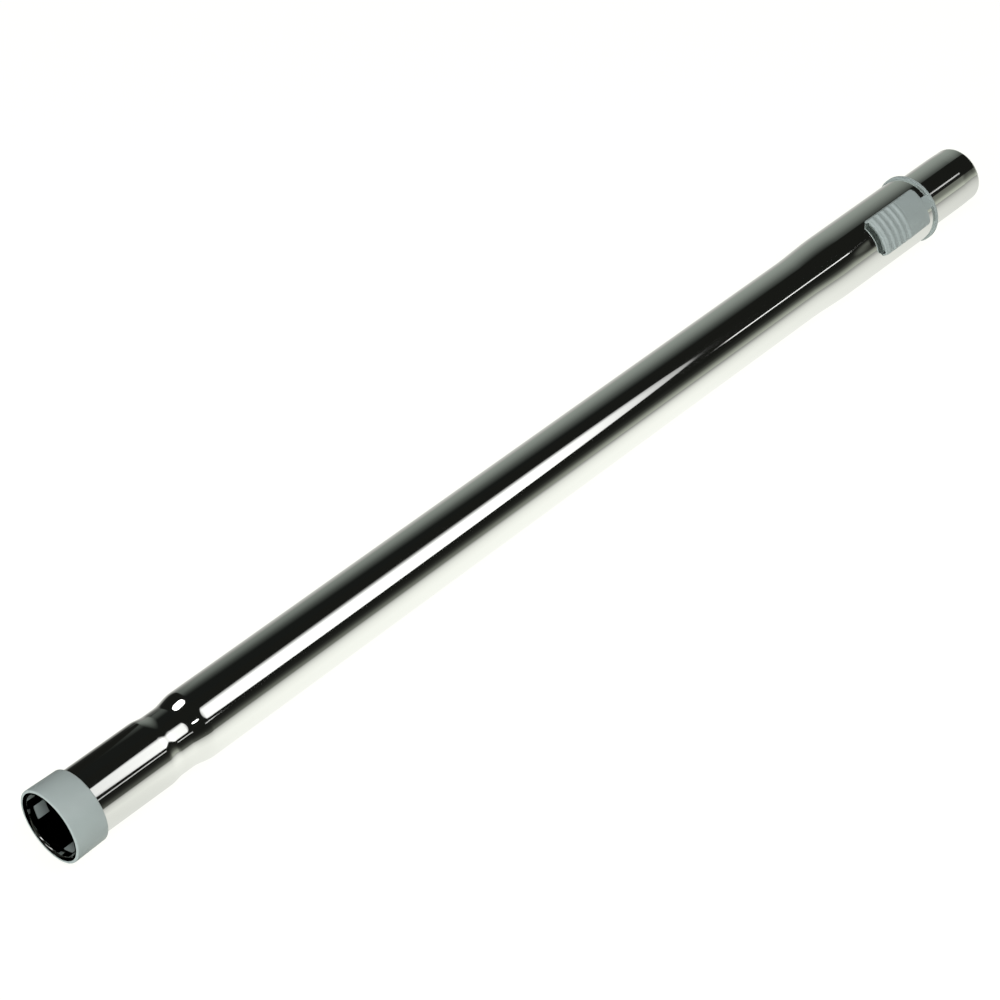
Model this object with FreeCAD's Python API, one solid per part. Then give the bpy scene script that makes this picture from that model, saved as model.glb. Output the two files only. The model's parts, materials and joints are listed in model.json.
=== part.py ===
import FreeCAD, Part
import math
import os

os.makedirs("parts", exist_ok=True)

Vector = FreeCAD.Vector

# A telescopic vacuum wand of two chromed tubes, lying along X.
# X is 0 where the straight socket begins, behind the flared mouth, and the wand's axis is the X axis.
# Every piece is made with the slide button straight up, and is turned to the front at the end.
# Lengths are in millimetres and angles in degrees.

# Inner tube and its row of latch notches
spigot_radius = 16.0
slide_relief = 0.05
inner_wall = 0.5
spigot_length = 43.1
spigot_lead = 1.0
spigot_taper_length = 13.0
spigot_taper = 0.3
lip_length = 0.8
lip_turn = 0.25
notch_pitch = 20.0
notch_count = 19
notch_depth = 1.3

# Outer tube, from the socket to the expanded end
outer_wall = 0.6
socket_bore = 15.9
mouth_flare = 1.0
flare_length = 1.1
socket_length = 57.0
neck_length = 7.4
waist_step = 0.9
waist_length = 6.6
shoulder_length = 11.2
tube_gap = 0.65
main_length = 432.1
expansion_length = 32.0
expanded_length = 69.8

# Window under the button, through which the latch is fitted
window_width = 18.4
window_length = 31.5

# Pressed bead in front of the guide sleeve
bead_width = 6.8
bead_depth = 0.45
bead_lead = 3.0

# Socket collar and the lugs that hold it in the tube's windows
collar_length = 16.9
collar_rim = 1.2
collar_wall = 1.85
collar_flare = 0.5
collar_front_round = 1.0
collar_back_round = 0.9
lug_count = 4
lug_start = 3.2
lug_length = 6.4
lug_width = 7.0
lug_turn = 23.5

# Guide sleeve with its flange ring, its rail for the button and its two snap lugs
sleeve_length = 44.0
sleeve_wall = 1.3
flange_thickness = 2.3
flange_overhang = 1.15
flange_round = 0.8
gate_flat = 3.0
rail_length = 39.2
rail_width = 7.7
rail_height = 0.7
channel_floor = 0.6
channel_width = 3.6
undercut_width = 5.2
undercut_height = 1.1
snap_width = 6.0
snap_length = 5.0
snap_inset = 12.0
snap_turn = 120.0

# Slide button, from its ribbed end to its nose at the flange
button_length = 41.2
button_width = 21.6
button_gap = 5.8
button_travel = 5.0
button_turn = 46.7
button_corner = 1.6
button_skin = 0.9
button_nose_skin = 0.75
button_side_wall = 1.4
button_end_wall = 1.2
button_end_recess = 0.9
rib_count = 5
rib_pitch = 4.6
rib_half_width = 1.7
rib_height = 0.5
rib_inset = 2.7

# Latch pin, the lock slide under the button and the return spring
pin_radius = 1.9
pin_inset = 29.3
pin_lift = 1.4
nose_thickness = 0.5
foot_length = 3.6
foot_flange = 0.5
tail_length = 4.3
peg_radius = 0.9
peg_inset = 1.8
spring_length = 12.0
spring_radius = 0.8
spring_wire_radius = 0.2
spring_turns = 8

# Guide ring and seal ring in rolled grooves of the inner tube
guide_length = 8.0
guide_depth = 0.45
guide_split = 2.0
seal_length = 3.4
seal_depth = 0.5
groove_ramp = 0.8
land_length = 2.6

# Clearances
press_clearance = 0.05
seat_clearance = 0.1
running_clearance = 0.25
working_clearance = 0.3

# Radii along the tubes
slide_radius = spigot_radius - slide_relief
main_bore = spigot_radius + tube_gap
main_radius = main_bore + outer_wall
socket_radius = socket_bore + outer_wall
mouth_radius = socket_radius + mouth_flare
waist_radius = socket_radius - waist_step
sleeve_bore = spigot_radius + running_clearance
sleeve_radius = sleeve_bore + sleeve_wall
expanded_bore = sleeve_radius + seat_clearance
expanded_radius = expanded_bore + outer_wall
flange_radius = expanded_radius + flange_overhang
gate_height = math.sqrt(flange_radius ** 2 - (gate_flat / 2) ** 2)
collar_bore = socket_radius + press_clearance
collar_back_radius = collar_bore + collar_wall
collar_front_radius = collar_back_radius + collar_flare
ring_radius = main_bore - running_clearance

# Stations along X
waist_start = socket_length + neck_length
waist_end = waist_start + waist_length
main_start = waist_end + shoulder_length
main_end = main_start + main_length
expanded_start = main_end + expansion_length
outer_end = expanded_start + expanded_length
flange_face = outer_end + flange_thickness
spigot_start = flange_face + spigot_lead
spigot_end = flange_face + spigot_length
sleeve_start = outer_end - sleeve_length
rail_start = outer_end - rail_length
button_right = outer_end - button_gap
button_left = button_right - button_length
level_end = button_left + 2 * rib_inset + rib_pitch * (rib_count - 1)
pin_x = outer_end - pin_inset
foot_left = pin_x + pin_radius + 2 * running_clearance
foot_right = foot_left + foot_length
tail_end = foot_right + tail_length
channel_end = foot_right + spring_length
stroke = notch_pitch * (notch_count - 1)
guide_right = sleeve_start - working_clearance - stroke
guide_left = guide_right - guide_length
seal_right = guide_left - land_length - 2 * groove_ramp - 2 * seat_clearance
seal_left = seal_right - seal_length
inner_start = seal_left - seat_clearance - groove_ramp - land_length

# Widths and heights at the button, over the wand's axis
slot_width = rail_width + 2 * seat_clearance
pin_length = slot_width - 2 * working_clearance
pin_height = spigot_radius - notch_depth + working_clearance + pin_radius
notch_radius = pin_radius + working_clearance
ceiling = math.hypot(pin_height + pin_lift + pin_radius, pin_length / 2) + working_clearance
button_base = expanded_radius + working_clearance
rail_top = expanded_radius + rail_height
nose_ceiling = rail_top + working_clearance
channel_bottom = sleeve_bore + channel_floor
foot_bottom = channel_bottom + working_clearance
undercut_top = channel_bottom + undercut_height
ramp_slope = pin_lift / button_travel


def turned(shape, angle):
    """A copy of the shape, turned about the wand's axis."""
    copy = shape.copy()
    copy.rotate(Vector(0, 0, 0), Vector(1, 0, 0), angle)
    return copy


def line_between(start, end):
    return Part.makeLine(Vector(start[0], 0, start[1]), Vector(end[0], 0, end[1]))


def level_arc(start, end):
    """An arc that leaves start level with the axis and ends at end."""
    run = end[0] - start[0]
    rise = end[1] - start[1]
    radius = (run * run + rise * rise) / (2 * abs(rise))
    half_sweep = math.atan2(abs(run), radius - abs(rise)) / 2
    along = math.copysign(radius * math.sin(half_sweep), run)
    up = math.copysign(radius * (1 - math.cos(half_sweep)), rise)
    middle = Vector(start[0] + along, 0, start[1] + up)
    arc = Part.Arc(Vector(start[0], 0, start[1]), middle, Vector(end[0], 0, end[1]))
    return arc.toShape()


def run_edges(stations):
    """Straight runs between stations of one radius, and smooth steps between the others."""
    edges = []
    for start, end in zip(stations, stations[1:]):
        if start[1] == end[1]:
            edges.append(line_between(start, end))
        else:
            middle = ((start[0] + end[0]) / 2, (start[1] + end[1]) / 2)
            edges.append(level_arc(start, middle))
            edges.append(level_arc(end, middle))
    return edges


def spun(edges):
    """A full turn of a closed outline about the wand's axis."""
    return Part.Face(Part.Wire(edges)).revolve(Vector(0, 0, 0), Vector(1, 0, 0), 360)


def drawn_tube(stations, wall):
    """A tube of even wall that follows the stations of its outer radius."""
    bore = [(x, radius - wall) for x, radius in stations]
    edges = run_edges(stations)
    edges.append(line_between(stations[-1], bore[-1]))
    edges.extend(reversed(run_edges(bore)))
    edges.append(line_between(bore[0], stations[0]))
    return spun(edges)


def spun_outline(points):
    return spun([line_between(a, b) for a, b in zip(points, points[1:] + points[:1])])


def rod(radius, start, end):
    return Part.makeCylinder(radius, end - start, Vector(start, 0, 0), Vector(1, 0, 0))


def ring(bore, radius, start, end):
    return rod(radius, start, end).cut(rod(bore, start, end))


def block(start, end, width, low, high):
    """A box that is centred over the wand's axis."""
    return Part.makeBox(end - start, width, high - low, Vector(start, -width / 2, low))


def cross_rod(radius, length, x, height):
    """A cylinder that lies across the wand."""
    return Part.makeCylinder(radius, length, Vector(x, -length / 2, height), Vector(0, 1, 0))


def ring_piece(bore, radius, start, end, width):
    """The part of a ring that lies under a box of that width over the axis."""
    return ring(bore, radius, start, end).common(block(start, end, width, 0, 2 * radius))


def round_rim(solid, rounding, x, rim_radius):
    """Rounds the circular edge at one station and radius."""
    chosen = [
        edge
        for edge in solid.Edges
        if isinstance(edge.Curve, Part.Circle)
        and abs(edge.Curve.Center.x - x) < press_clearance
        and abs(edge.Curve.Radius - rim_radius) < press_clearance
    ]
    return solid.makeFillet(rounding, chosen)


def top_height(x):
    """Outer radius of the button: level under the ribs, then falling to its nose."""
    if x <= level_end:
        return ceiling + button_skin
    share = (x - level_end) / (button_right - level_end)
    return ceiling + button_skin + share * (nose_ceiling + button_nose_skin - ceiling - button_skin)


def lug_turns():
    return [lug_turn + 360.0 * index / lug_count for index in range(lug_count)]


def pressing_body(growth):
    """The long round-bottomed body that presses the bead, grown all round."""
    half = bead_width / 2
    drop = math.sqrt(expanded_radius ** 2 - half ** 2) - expanded_radius + bead_depth
    radius = (half ** 2 + drop ** 2) / (2 * drop)
    start = expanded_start
    end = sleeve_start - seat_clearance
    low = radius - 2 * bead_depth + growth
    high = radius + growth
    stations = [(start, low), (start + bead_lead, high), (end - bead_lead, high), (end, low)]
    edges = run_edges(stations)
    edges.append(line_between(stations[-1], (end, 0)))
    edges.append(line_between((end, 0), (start, 0)))
    edges.append(line_between((start, 0), stations[0]))
    body = spun(edges)
    body.translate(Vector(0, 0, expanded_radius - bead_depth + radius))
    return body


def make_outer_tube():
    stations = [
        (-flare_length, mouth_radius),
        (0, socket_radius),
        (socket_length, socket_radius),
        (waist_start, waist_radius),
        (waist_end, waist_radius),
        (main_start, main_radius),
        (main_end, main_radius),
        (expanded_start, expanded_radius),
        (outer_end, expanded_radius),
    ]
    tube = drawn_tube(stations, outer_wall)
    inner_face = rod(expanded_bore + outer_wall / 2, expanded_start, sleeve_start)
    tube = tube.fuse(pressing_body(outer_wall).common(inner_face))
    tube = tube.cut(pressing_body(0))
    slot_start = rail_start - seat_clearance
    window_end = rail_start + window_length
    openings = [
        block(slot_start, outer_end, slot_width, 0, 2 * expanded_radius),
        block(slot_start, window_end, window_width, 0, 2 * expanded_radius),
    ]
    lug_hole = block(
        lug_start - seat_clearance,
        lug_start + lug_length + seat_clearance,
        lug_width + 2 * seat_clearance,
        0,
        2 * socket_radius,
    )
    openings.extend(turned(lug_hole, angle) for angle in lug_turns())
    snap_start = outer_end - snap_inset
    snap_hole = block(
        snap_start - seat_clearance,
        snap_start + snap_length + seat_clearance,
        snap_width + 2 * seat_clearance,
        0,
        2 * expanded_radius,
    )
    openings.extend(turned(snap_hole, side * snap_turn) for side in (1, -1))
    return tube.cut(openings)


def make_socket_collar():
    rim_bore = mouth_radius + press_clearance
    collar = spun_outline(
        [
            (-collar_rim, rim_bore),
            (-collar_rim, collar_front_radius),
            (collar_length, collar_back_radius),
            (collar_length, collar_bore),
            (press_clearance, collar_bore),
            (press_clearance, rim_bore),
        ]
    )
    collar = round_rim(collar, collar_front_round, -collar_rim, collar_front_radius)
    collar = round_rim(collar, collar_back_round, collar_length, collar_back_radius)
    lug = ring_piece(
        socket_bore + press_clearance,
        collar_bore + collar_wall / 2,
        lug_start,
        lug_start + lug_length,
        lug_width,
    )
    return collar.fuse([turned(lug, angle) for angle in lug_turns()])


def make_inner_tube():
    seal_floor = slide_radius - seal_depth
    guide_floor = slide_radius - guide_depth
    tip_radius = spigot_radius - spigot_taper
    stations = [
        (inner_start, slide_radius),
        (inner_start + land_length, slide_radius),
        (seal_left - seat_clearance, seal_floor),
        (seal_right + seat_clearance, seal_floor),
        (seal_right + seat_clearance + groove_ramp, slide_radius),
        (guide_left - seat_clearance - groove_ramp, slide_radius),
        (guide_left - seat_clearance, guide_floor),
        (guide_right + seat_clearance, guide_floor),
        (guide_right + seat_clearance + groove_ramp, slide_radius),
        (flange_face, slide_radius),
        (spigot_start, spigot_radius),
        (spigot_end - spigot_taper_length, spigot_radius),
        (spigot_end - lip_length, tip_radius),
        (spigot_end, tip_radius - lip_turn),
    ]
    tube = drawn_tube(stations, inner_wall)
    places = [pin_x - notch_pitch * index for index in range(notch_count)]
    reach = notch_radius + inner_wall
    dents = []
    notches = []
    for x in places:
        inner_face = rod(slide_radius - inner_wall / 2, x - reach, x + reach)
        dents.append(cross_rod(reach, 2 * spigot_radius, x, pin_height).common(inner_face))
        notches.append(cross_rod(notch_radius, 2 * spigot_radius, x, pin_height))
    return tube.fuse(dents).cut(notches)


def make_guide_ring():
    bore = slide_radius - guide_depth + press_clearance
    whole = ring(bore, ring_radius, guide_left, guide_right)
    return whole.cut(block(guide_left, guide_right, guide_split, -2 * ring_radius, 0))


def make_seal_ring():
    return ring(slide_radius - seal_depth + press_clearance, ring_radius, seal_left, seal_right)


def make_guide_sleeve():
    sleeve = ring(sleeve_bore, sleeve_radius, sleeve_start, outer_end)
    flange = ring(sleeve_bore, flange_radius, outer_end, flange_face)
    flange = round_rim(flange, flange_round, flange_face, flange_radius)
    rail = ring_piece(sleeve_bore, rail_top, rail_start, outer_end, rail_width)
    snap_start = outer_end - snap_inset
    snap_lug = ring_piece(
        sleeve_bore,
        expanded_radius - press_clearance,
        snap_start,
        snap_start + snap_length,
        snap_width,
    )
    sleeve = sleeve.fuse([flange, rail] + [turned(snap_lug, side * snap_turn) for side in (1, -1)])
    window_half = pin_radius + running_clearance
    pin_window = block(pin_x - window_half, pin_x + window_half, slot_width, 0, 2 * rail_top)
    channel = block(pin_x, channel_end, channel_width, channel_bottom, 2 * rail_top)
    undercut = block(pin_x, channel_end, undercut_width, channel_bottom, undercut_top)
    # The gate of the moulding is trimmed flat where the ring lies lowest.
    gate_trim = block(outer_end, flange_face, 2 * gate_flat, gate_height, 2 * flange_radius)
    gate_trim = turned(gate_trim, 180 - button_turn)
    return sleeve.cut([pin_window, channel, undercut, gate_trim]).removeSplitter()


def make_latch_pin():
    return cross_rod(pin_radius, pin_length, pin_x, pin_height)


def button_cavity(start, end, lower_by):
    """The hollow under the button's skin, as a solid of revolution lowered from the ceiling."""
    points = [(start, 0), (start, ceiling - lower_by)]
    if start < level_end < end:
        points.append((level_end, ceiling - lower_by))
    fall = (ceiling - nose_ceiling) / (button_right - level_end)
    points.append((end, ceiling - lower_by - fall * max(0, end - level_end)))
    points.append((end, 0))
    return spun_outline(points)


def make_slide_button():
    edges = []
    last = (button_left, top_height(button_left))
    edges.append(line_between((button_left, button_base), last))
    for index in range(rib_count):
        x = button_left + rib_inset + rib_pitch * index
        foot = (x - rib_half_width, top_height(x - rib_half_width))
        crest = (x, top_height(x) + rib_height)
        heel = (x + rib_half_width, top_height(x + rib_half_width))
        edges.append(line_between(last, foot))
        edges.append(Part.Arc(*[Vector(a, 0, b) for a, b in (foot, crest, heel)]).toShape())
        last = heel
    for x in (level_end, button_right):
        edges.append(line_between(last, (x, top_height(x))))
        last = (x, top_height(x))
    edges.append(line_between(last, (button_right, button_base)))
    edges.append(line_between((button_right, button_base), (button_left, button_base)))
    plan = block(button_left, button_right, button_width, 0, 2 * ceiling)
    upright = [edge for edge in plan.Edges if edge.BoundBox.ZLength > edge.BoundBox.DiagonalLength / 2]
    shell = spun(edges).common(plan.makeFillet(button_corner, upright))
    inside = button_width - 2 * button_side_wall
    hollow_start = button_left + button_end_recess + button_end_wall
    hollow_end = button_right - button_end_wall
    hollow = button_cavity(hollow_start, hollow_end, 0)
    hollow = hollow.common(block(hollow_start, hollow_end, inside, 0, 2 * ceiling))
    recess_end = button_left + button_end_recess
    recess = rod(ceiling, button_left, recess_end)
    recess = recess.common(block(button_left, recess_end, inside, 0, 2 * ceiling))
    rail_gate = block(hollow_end, button_right, rail_width + 2 * working_clearance, 0, nose_ceiling)
    peg_foot = Vector(tail_end - peg_inset, 0, nose_ceiling)
    peg = Part.makeCylinder(peg_radius, ceiling - nose_ceiling, peg_foot)
    return shell.cut([hollow, recess, rail_gate]).fuse(peg)


def ramp_height(x):
    """Underside of the lock slide, which keeps one distance from the pin as both move."""
    reach = (pin_radius + running_clearance) * math.hypot(1, ramp_slope)
    return pin_height + reach + ramp_slope * (pin_x - x)


def make_lock_slide():
    nose_height = ceiling - nose_thickness
    nose_left = pin_x + (ramp_height(pin_x) - nose_height) / ramp_slope
    width = channel_width - 2 * working_clearance
    outline = [
        (nose_left, 2 * ceiling),
        (nose_left, nose_height),
        (foot_left, ramp_height(foot_left)),
        (foot_left, foot_bottom),
        (foot_right, foot_bottom),
        (foot_right, nose_ceiling),
        (tail_end, nose_ceiling),
        (tail_end, 2 * ceiling),
    ]
    corners = [Vector(x, -width / 2, height) for x, height in outline]
    bar = Part.Face(Part.makePolygon(corners + corners[:1])).extrude(Vector(0, width, 0))
    bar = bar.common(button_cavity(nose_left, tail_end, press_clearance))
    flange_width = undercut_width - 2 * working_clearance
    flange = block(foot_left, foot_right, flange_width, foot_bottom, foot_bottom + foot_flange)
    hole_foot = Vector(tail_end - peg_inset, 0, nose_ceiling - working_clearance)
    peg_hole = Part.makeCylinder(peg_radius + press_clearance, ceiling, hole_foot)
    return bar.fuse(flange).cut(peg_hole)


def make_return_spring():
    height = spring_length - 2 * spring_wire_radius - 2 * press_clearance
    pitch = height / spring_turns
    path = Part.makeHelix(pitch, height, spring_radius)
    along = Vector(0, 2 * math.pi * spring_radius, pitch)
    section = Part.Wire(Part.makeCircle(spring_wire_radius, Vector(spring_radius, 0, 0), along))
    coil = Part.Wire(path).makePipeShell([section], True, True)
    coil.rotate(Vector(0, 0, 0), Vector(0, 1, 0), 90)
    axis_height = channel_bottom + press_clearance + spring_radius + spring_wire_radius
    coil.translate(Vector(foot_right + press_clearance + spring_wire_radius, 0, axis_height))
    return coil


pieces = {
    "outer_tube": make_outer_tube,
    "socket_collar": make_socket_collar,
    "inner_tube": make_inner_tube,
    "guide_ring": make_guide_ring,
    "seal_ring": make_seal_ring,
    "guide_sleeve": make_guide_sleeve,
    "slide_button": make_slide_button,
    "lock_slide": make_lock_slide,
    "latch_pin": make_latch_pin,
    "return_spring": make_return_spring,
}

for name, make in pieces.items():
    solid = turned(make(), button_turn)
    solid.exportStep("parts/" + name + ".step")
    print(name, solid.isValid(), len(solid.Solids), round(solid.Volume, 2))
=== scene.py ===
import json
import math

import bmesh
import bpy
from bpy.props import FloatProperty, FloatVectorProperty, IntProperty, PointerProperty
from mathutils import Matrix, Vector


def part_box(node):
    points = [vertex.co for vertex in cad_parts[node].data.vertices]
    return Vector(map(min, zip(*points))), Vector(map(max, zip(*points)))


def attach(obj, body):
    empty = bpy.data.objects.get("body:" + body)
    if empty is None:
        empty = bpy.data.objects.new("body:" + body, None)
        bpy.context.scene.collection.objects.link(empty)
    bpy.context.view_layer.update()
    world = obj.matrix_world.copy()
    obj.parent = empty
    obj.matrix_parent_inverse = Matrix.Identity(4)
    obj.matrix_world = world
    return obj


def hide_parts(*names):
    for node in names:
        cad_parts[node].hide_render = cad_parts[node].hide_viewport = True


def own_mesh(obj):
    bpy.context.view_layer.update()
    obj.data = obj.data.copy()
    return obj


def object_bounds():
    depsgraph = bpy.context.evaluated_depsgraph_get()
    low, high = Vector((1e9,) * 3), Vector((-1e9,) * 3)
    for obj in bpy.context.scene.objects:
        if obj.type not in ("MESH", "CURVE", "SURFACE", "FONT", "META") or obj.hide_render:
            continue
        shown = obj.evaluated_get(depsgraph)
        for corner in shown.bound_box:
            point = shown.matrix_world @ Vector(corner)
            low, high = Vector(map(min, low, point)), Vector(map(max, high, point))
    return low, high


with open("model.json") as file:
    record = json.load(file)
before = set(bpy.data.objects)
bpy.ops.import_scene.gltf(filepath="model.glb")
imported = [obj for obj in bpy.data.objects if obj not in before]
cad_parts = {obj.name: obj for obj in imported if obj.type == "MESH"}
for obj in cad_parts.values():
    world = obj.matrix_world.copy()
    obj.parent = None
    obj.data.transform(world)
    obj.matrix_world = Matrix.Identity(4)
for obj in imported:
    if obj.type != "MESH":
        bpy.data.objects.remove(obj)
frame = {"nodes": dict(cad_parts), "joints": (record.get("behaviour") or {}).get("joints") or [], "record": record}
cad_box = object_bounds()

bl_info = {
    "name": "Telescopic Vacuum Wand",
    "version": (1, 0, 0),
    "blender": (4, 5, 0),
    "location": "3D View > Sidebar > Wand",
    "description": "Dresses a chromed telescopic vacuum wand and sets up its white studio",
    "category": "Object",
}

# Lengths are in metres. Pieces are made with the slide button straight up,
# and are turned to the front at the end.
MM = 0.001
joints = {joint["name"]: joint for joint in frame["joints"]}
record_colours = {row["slot"]: row["base_color"] for row in frame["record"]["materials"]}
button_axis = Vector(joints["pin_lift"]["axis"])
BUTTON_TURN = math.atan2(-button_axis.y, button_axis.z)
FINISHES = {
    "chrome_tube": "bright_chrome",
    "plain_steel": "drawn_steel",
    "grey_plastic": "satin_plastic",
    "slide_plastic": "bearing_plastic",
    "black_rubber": "seal_rubber",
}


def length(name, millimetres, description):
    """A size that a user would change, shown in the scene's length unit."""
    return FloatProperty(
        name=name, description=description, default=millimetres * MM, min=0.0, unit="LENGTH", precision=5
    )


def colour(name, value, description):
    return FloatVectorProperty(
        name=name, description=description, default=value, size=3, min=0.0, max=1.0, subtype="COLOR"
    )


def place(name, value, description):
    return FloatVectorProperty(name=name, description=description, default=value, size=3, unit="LENGTH")


class TubeSizes(bpy.types.PropertyGroup):
    """Sizes of the outer tube, from its socket to its expanded end"""

    wall: length("Wall", 0.6, "Wall of the drawn steel tube")
    mouth_radius: length("Mouth Radius", 17.5, "Outer radius of the flared mouth")
    flare_length: length("Flare Length", 1.1, "Length of the flare in front of the socket")
    socket_radius: length("Socket Radius", 16.5, "Outer radius of the socket")
    socket_end: length("Socket Length", 57.0, "Length of the straight socket")
    waist_radius: length("Waist Radius", 15.6, "Outer radius of the waist that stops the handle")
    waist_start: length("Waist Start", 64.4, "Where the waist begins")
    waist_end: length("Waist End", 71.0, "Where the waist ends")
    main_radius: length("Main Radius", 17.25, "Outer radius of the long run")
    main_start: length("Main Start", 82.2, "Where the long run begins")
    main_end: length("Main End", 514.3, "Where the long run ends")
    expanded_radius: length("Expanded Radius", 18.25, "Outer radius of the end that holds the sleeve")
    expanded_start: length("Expanded Start", 546.3, "Where the expanded end begins")
    tube_end: length("Tube End", 616.1, "Where the outer tube meets the flange ring")
    bead_half: length("Bead Half Width", 3.4, "Half the width of the pressed bead in line with the button")
    bead_depth: length("Bead Depth", 0.28, "Depth of the pressed bead")
    bead_lead: length("Bead Lead", 21.0, "Length over which the bead deepens towards the button")
    bead_close: length("Bead Close", 9.0, "Length over which the bead ends under the button")
    bead_end: length("Bead End", 572.0, "Where the bead ends under the button")
    slot_start: length("Slot Start", 576.8, "Where the slot under the button begins")
    slot_half: length("Slot Half Width", 3.95, "Half the width of the slot that takes the rail")
    window_end: length("Window End", 608.4, "Where the wide window under the button ends")
    window_half: length("Window Half Width", 9.2, "Half the width of the window under the button")
    lug_start: length("Lug Hole Start", 3.1, "Where the holes for the collar's lugs begin")
    lug_end: length("Lug Hole End", 9.7, "Where the holes for the collar's lugs end")
    lug_half: length("Lug Hole Half Width", 3.6, "Half the width of the holes for the collar's lugs")
    snap_start: length("Snap Hole Start", 604.0, "Where the two snap holes begin")
    snap_end: length("Snap Hole End", 609.2, "Where the two snap holes end")
    snap_half: length("Snap Hole Half Width", 3.1, "Half the width of the two snap holes")
    segments: IntProperty(name="Segments", description="Faces around the tube", default=240, min=24)


class CollarSizes(bpy.types.PropertyGroup):
    """Sizes of the moulded collar on the socket"""

    rim: length("Rim", 1.2, "Thickness of the rim in front of the tube")
    length: length("Length", 16.9, "How far the collar reaches over the tube")
    front_radius: length("Front Radius", 18.9, "Outer radius at the rim")
    back_radius: length("Back Radius", 18.4, "Outer radius at the back edge")
    bore: length("Bore", 16.55, "Radius of the bore that sits on the tube")
    rim_bore: length("Rim Bore", 17.55, "Radius of the recess that takes the tube's flared mouth")
    step: length("Step", 0.05, "Where the recess for the flared mouth ends")
    front_round: length("Front Round", 0.7, "Rounding of the rim's outer edge")
    back_round: length("Back Round", 0.9, "Rounding of the back edge")
    mouth_round: length("Mouth Round", 0.12, "Rounding of the mouth's edge")
    lug_start: length("Lug Start", 3.2, "Where the lugs begin")
    lug_length: length("Lug Length", 6.4, "Length of the lugs")
    lug_width: length("Lug Width", 7.0, "Width of the lugs")
    lug_foot: length("Lug Foot", 15.95, "Radius of the lugs' inner faces")
    lug_round: length("Lug Round", 0.2, "Rounding of the lugs' edges")
    lug_sink: length("Lug Sink", 0.4, "How deep the lugs are sunk into the collar")
    lug_count: IntProperty(name="Lugs", description="Number of lugs", default=4, min=1)
    segments: IntProperty(name="Segments", description="Faces around the collar", default=192, min=24)
    lug_turn: FloatProperty(
        name="Lug Turn", description="Angle from the button to the first lug", default=math.radians(23.5),
        subtype="ANGLE",
    )


class ButtonSizes(bpy.types.PropertyGroup):
    """Sizes of the ribbed slide button"""

    left: length("Left End", 569.1, "Where the button begins")
    right: length("Right End", 610.3, "Where the button ends")
    width: length("Width", 21.6, "Width across the wand")
    corner: length("Corner", 1.6, "Rounding of the corners, seen from above")
    edge: length("Edge Round", 0.5, "Rounding of the upper edge")
    base: length("Base", 18.55, "Radius on which the button's lower edge runs")
    top: length("Top", 21.73, "Outer radius under the ribs")
    nose: length("Nose", 20.0, "Outer radius at the nose")
    level_end: length("Level End", 592.9, "Where the top begins to fall to the nose")
    skin: length("Skin", 0.6, "Thickness of the skin")
    recess: length("End Recess", 3.0, "How far the end wall stands back under the skin")
    lip: length("End Lip", 0.6, "Thickness of the skin in front of the recess")
    gate_half: length("Gate Half Width", 4.15, "Half the width of the gate that passes over the rail")
    gate_top: length("Gate Top", 19.25, "Radius of the top of the gate")
    rib_inset: length("Rib Inset", 2.7, "Distance of the first rib from the end")
    rib_pitch: length("Rib Pitch", 4.6, "Distance from rib to rib")
    rib_half: length("Rib Half Width", 1.9, "Half the width of a rib")
    rib_height: length("Rib Height", 0.5, "Height of a rib")
    rib_count: IntProperty(name="Ribs", description="Number of ribs", default=5, min=1)


class SpringSizes(bpy.types.PropertyGroup):
    """Sizes of the return spring under the button"""

    wire: length("Wire", 0.4, "Thickness of the wire")
    turns: IntProperty(name="Turns", description="Number of turns", default=8, min=1)
    turn_steps: IntProperty(name="Turn Steps", description="Faces along each turn", default=24, min=8)
    wire_sides: IntProperty(name="Wire Sides", description="Faces around the wire", default=12, min=6)


class WandColours(bpy.types.PropertyGroup):
    """Colours of the wand's finishes"""

    chrome: colour("Chrome", (0.94, 0.95, 0.92), "Bright chrome plate")
    plastic: colour("Grey Plastic", (0.33, 0.383, 0.372), "Moulded satin plastic")
    slide: colour("Slide Plastic", record_colours["slide_plastic"], "Natural bearing plastic")
    steel: colour("Plain Steel", record_colours["plain_steel"], "Drawn steel of the pin and the spring")
    rubber: colour("Black Rubber", record_colours["black_rubber"], "Rubber of the seal")


class StudioPlaces(bpy.types.PropertyGroup):
    """Places of the camera and of the lamps"""

    eye: place("Camera", (-0.47317, -0.70082, 0.91947), "Where the camera stands")
    aim: place("Aim", (0.28644, 0.00085, 0.00065), "What the camera looks at")
    key_lamp: place("Key Lamp", (0.25, -0.48, 0.877), "Centre of the round lamp that lights the plastic")
    # The next six places are glowing faces that only the chrome shows: painted highlights, which light nothing.
    softbox: place("Softbox", (0.76, -0.48, 0.877), "Centre of the round softbox that the chrome shows")
    strip: place("Strip", (1.33, -0.67, 0.742), "Centre of the thin strip lamp")
    far_strip: place("Far Strip", (1.59, -0.64, 0.768), "Centre of the strip lamp beyond it")
    dim_strip: place("Dim Strip", (0.40, -0.845, 0.534), "Centre of the dim strip near the socket")
    long_lamp: place("Long Lamp", (-1.3, -0.35, 0.95), "Centre of the long lamp beyond the mouth")
    long_back_lamp: place("Long Back Lamp", (-1.3, 0.45, 0.9), "Centre of the long lamp behind it")
    back_lamp: place("Back Lamp", (0.19, 0.72, 0.92), "Centre of the small lamp behind the wand")
    small_lamp: place("Small Lamp", (0.10, -0.71, 0.98), "Centre of the smallest lamp, in front")
    mouth_lamp: place("Mouth Lamp", (-1.6, -0.25, 0.35), "Centre of the lamp that lights the mouth")
    lens: FloatProperty(
        name="Lens", description="Focal length on the 36 mm sensor", default=102.28, unit="CAMERA"
    )


def ease(share):
    """Smooth rise from 0 to 1."""
    share = min(max(share, 0.0), 1.0)
    return share * share * (3.0 - 2.0 * share)


# Node helpers


def add_node(tree, kind, **settings):
    node = tree.nodes.new(kind)
    for name, value in settings.items():
        setattr(node, name, value)
    return node


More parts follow.
